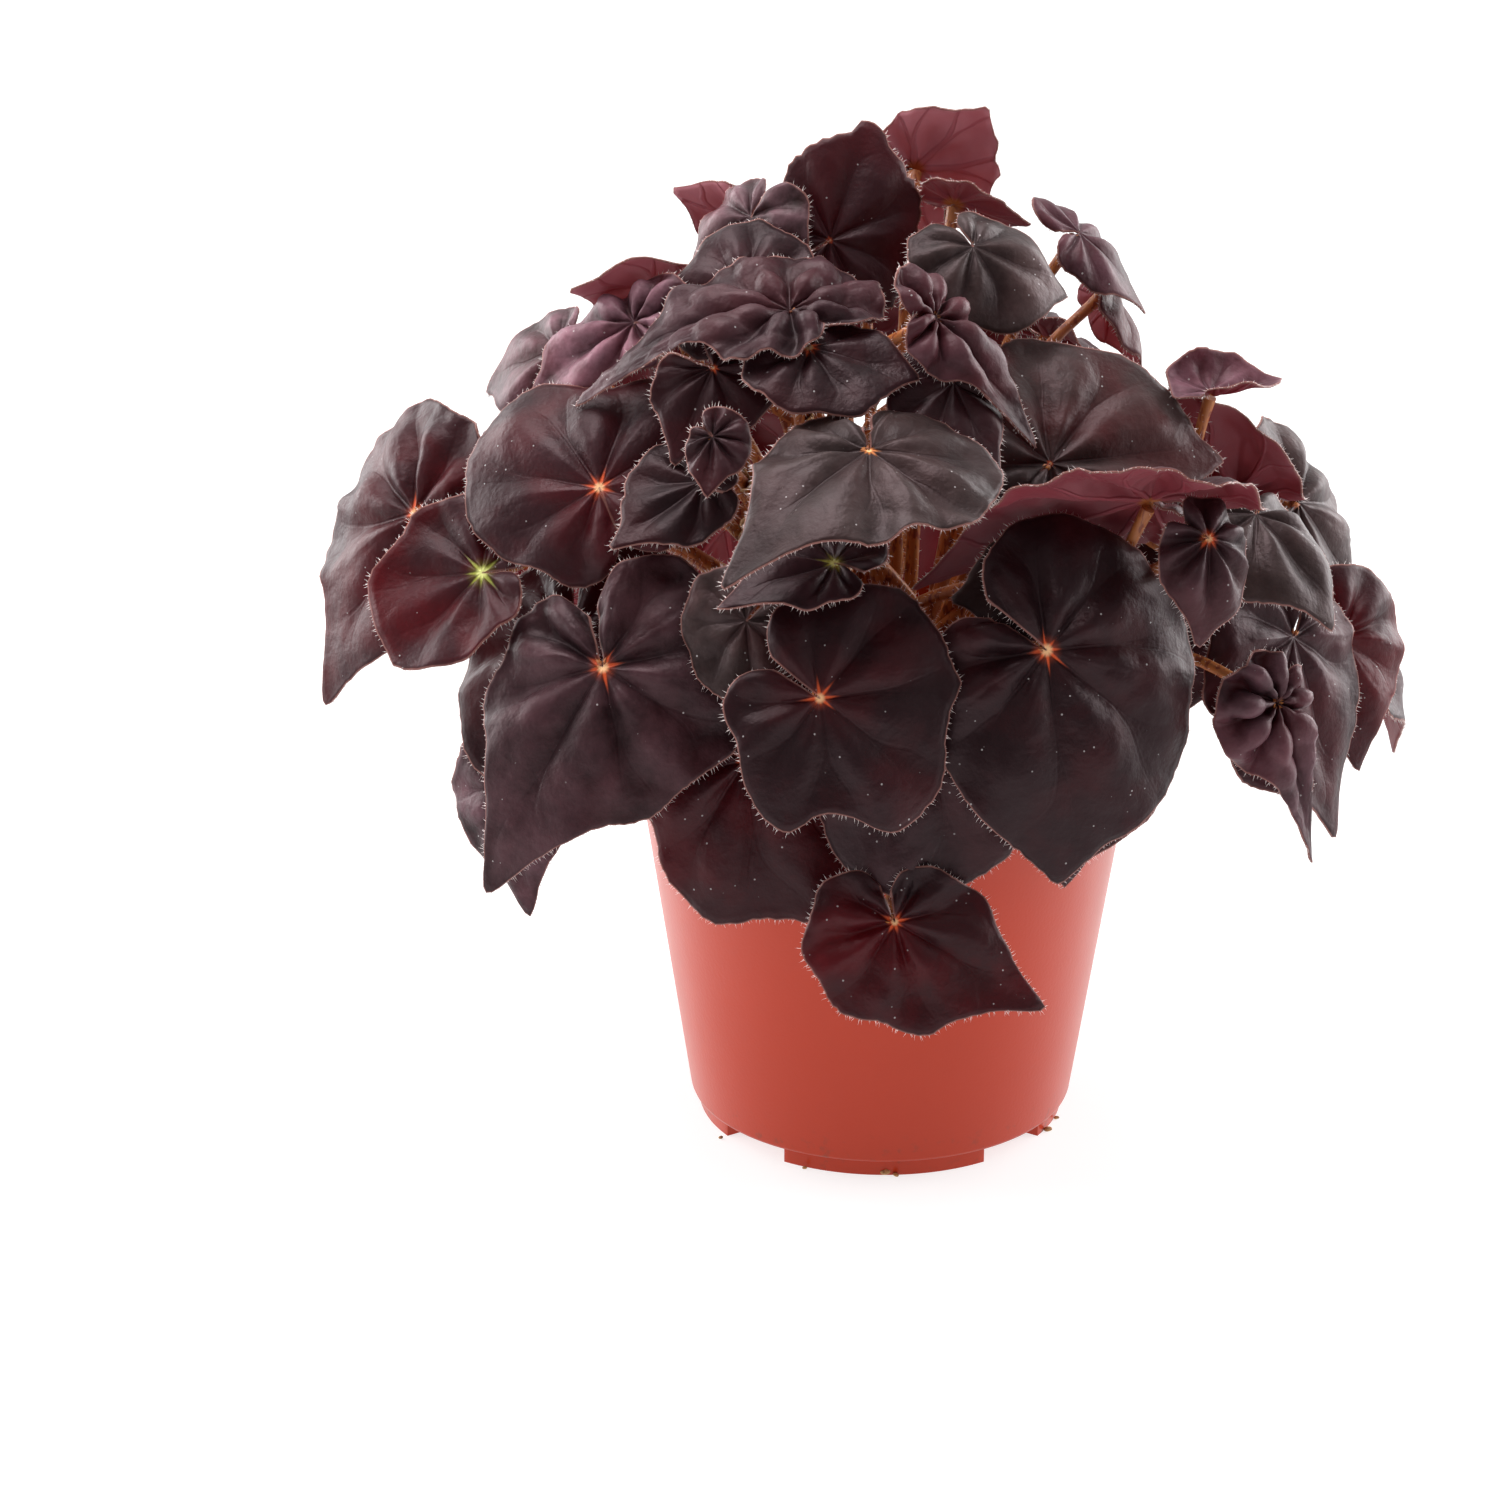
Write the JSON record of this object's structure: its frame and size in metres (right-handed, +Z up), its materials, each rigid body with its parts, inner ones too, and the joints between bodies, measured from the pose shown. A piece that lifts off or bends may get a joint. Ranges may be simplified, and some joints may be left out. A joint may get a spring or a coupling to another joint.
{
  "type": "potted rex begonia",
  "caption": "Rex begonia with dark burgundy, lobed leaves on slender stalks, growing in soil in a round terracotta-coloured plastic pot.",
  "frame": {"origin": "on the pot's axis, at the level the pot's feet stand on, which is the centre of the foot of the plant's box", "axes": "+Z up the pot's axis; the side the picture shows faces -Y, with +X to its right"},
  "size_m": [0.2466, 0.1869, 0.2304],
  "materials": {
    "leaf_dark": "velvety dark burgundy leaf with a grey sheen, orange-red star and crimson underside",
    "leaf_red": "velvety wine-red leaf, crimson underside",
    "leaf_grey": "older grey-green leaf with a burgundy edge, satin",
    "stalk": "orange-tan fleshy stalk with red-brown speckles and pale hairs",
    "soil": "dark crumbly potting soil, matte",
    "pot": "thin moulded terracotta-coloured plastic, matte"
  },
  "bodies": {
    "root": {"pot": "pot", "soil": "soil", "crown_and_stalks": "stalk", "leaf_front_left_great": "leaf_dark", "leaf_front_right_great": "leaf_dark", "leaf_front_middle": "leaf_dark", "leaf_front_low_red": "leaf_red", "leaf_front_lowest": "leaf_dark", "leaf_front_low_ridged": "leaf_dark", "leaf_front_low_hidden": "leaf_red", "leaf_front_high": "leaf_grey", "leaf_front_under": "leaf_dark", "leaf_left_high": "leaf_red", "leaf_left_yellow_star": "leaf_red", "leaf_left_outer": "leaf_red", "leaf_left_under": "leaf_red", "leaf_left_lowest": "leaf_dark", "leaf_top_arch": "leaf_dark", "leaf_top_dark": "leaf_dark", "leaf_top_left_dark": "leaf_red", "leaf_small_ribbed": "leaf_dark", "leaf_middle_shadow": "leaf_dark", "leaf_front_strip": "leaf_grey", "leaf_front_nook": "leaf_grey", "leaf_right_mottled": "leaf_grey", "leaf_right_folded": "leaf_red", "leaf_right_umbrella": "leaf_dark", "leaf_right_strip": "leaf_grey", "leaf_right_great": "leaf_dark", "leaf_right_corrugated": "leaf_dark", "leaf_right_red": "leaf_red", "leaf_right_shadow": "leaf_dark", "leaf_right_grey": "leaf_grey", "leaf_right_crimson": "leaf_red", "leaf_right_small": "leaf_red", "leaf_high_ribbed": "leaf_dark", "leaf_high_shadow": "leaf_dark", "leaf_high_grey": "leaf_grey", "leaf_high_right_hanging": "leaf_red", "leaf_high_right_tail": "leaf_red", "leaf_summit_dark": "leaf_red", "leaf_summit_back": "leaf_red", "leaf_summit_right": "leaf_red", "leaf_summit_left_tip": "leaf_red", "leaf_summit_left_grey": "leaf_grey", "leaf_summit_low": "leaf_dark", "leaf_high_left_grey": "leaf_grey", "leaf_high_left_red": "leaf_red", "leaf_high_left_pink": "leaf_red", "leaf_back_left_high": "leaf_dark", "leaf_back_left_outer": "leaf_dark", "leaf_back_left_low": "leaf_red", "leaf_back_left_middle": "leaf_dark", "leaf_back_high": "leaf_grey", "leaf_back_middle": "leaf_dark", "leaf_back_low": "leaf_red", "leaf_back_right_high": "leaf_dark", "leaf_back_right_middle": "leaf_red", "leaf_back_right_outer": "leaf_dark", "leaf_back_right_low": "leaf_dark"}
  },
  "joints": []
}
